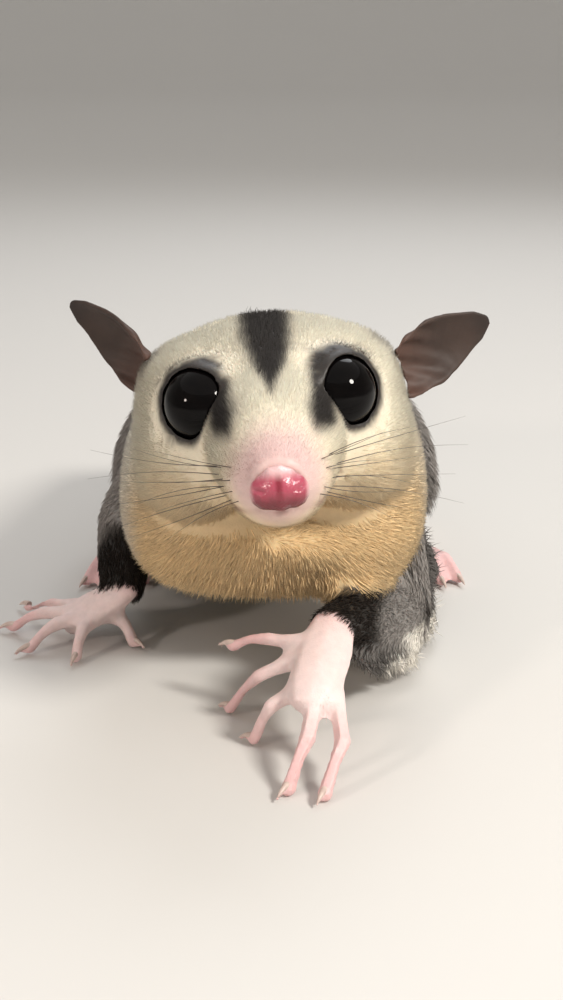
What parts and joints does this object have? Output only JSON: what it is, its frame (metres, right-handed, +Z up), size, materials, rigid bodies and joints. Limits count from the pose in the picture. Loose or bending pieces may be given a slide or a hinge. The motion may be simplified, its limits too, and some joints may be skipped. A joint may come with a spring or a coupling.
{
  "type": "sugar glider model",
  "caption": "Life-size still model of a sugar glider crouched on all fours, head raised, one hand reaching forward, furred tail laid straight behind.",
  "frame": {"origin": "centre of the model's bounding box, on the ground plane that its hands, feet and tail rest on", "axes": "+Z up; the animal faces -Y, so +Y runs towards the tail and +X is the animal's left side"},
  "size_m": [0.0686, 0.2542, 0.0491],
  "materials": {
    "cream_fur": "short dense cream-white fur",
    "buff_fur": "golden-buff fur",
    "grey_fur": "soft grey fur, darker along the spine",
    "dark_fur": "charcoal fur with a white fringe",
    "tail_fur": "long bushy fur, grey turning to charcoal at the tip",
    "ear_skin": "thin bare dark brown skin",
    "bare_skin": "bare pale pink skin",
    "nose_pad": "moist crimson-pink skin",
    "eye": "wet glossy black"
  },
  "bodies": {
    "root": {"head": "cream_fur", "nose": "nose_pad", "eye_left": "eye", "eye_right": "eye", "ear_left": "ear_skin", "ear_right": "ear_skin", "neck": "cream_fur", "chest": "buff_fur", "rump": "grey_fur", "tail_base": "grey_fur", "tail": "tail_fur", "thigh_left": "grey_fur", "upper_arm_left": "grey_fur", "forearm_left": "dark_fur", "shin_left": "grey_fur", "membrane_left": "dark_fur", "hand_left": "bare_skin", "foot_left": "bare_skin", "thigh_right": "grey_fur", "upper_arm_right": "grey_fur", "forearm_right": "dark_fur", "shin_right": "grey_fur", "membrane_right": "dark_fur", "hand_right": "bare_skin", "foot_right": "bare_skin"}
  },
  "joints": []
}
